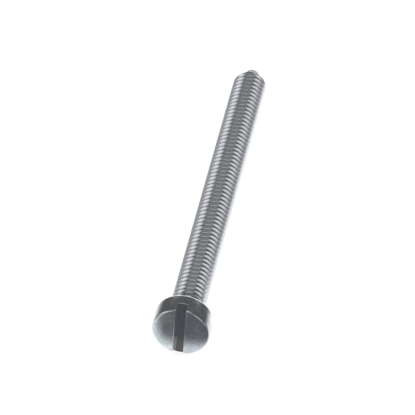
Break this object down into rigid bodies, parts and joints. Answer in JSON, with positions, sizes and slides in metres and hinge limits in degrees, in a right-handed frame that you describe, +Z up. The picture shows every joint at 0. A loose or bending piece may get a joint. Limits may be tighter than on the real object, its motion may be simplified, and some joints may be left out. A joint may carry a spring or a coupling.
{
  "type": "cheese head screw",
  "caption": "Slotted cheese head machine screw in bare steel, threaded all the way up to its head.",
  "frame": {"origin": "on the table under the middle of the screw's box, as it lies at rest", "axes": "+Y towards the tip, along the screw as it lies, +Z up; the axis itself dips 1.8 degrees towards the tip"},
  "size_m": [0.0066, 0.0476, 0.0066],
  "materials": {
    "steel": "bare rolled steel, satin, with a smooth formed head"
  },
  "bodies": {
    "root": {"screw": "steel"}
  },
  "joints": []
}
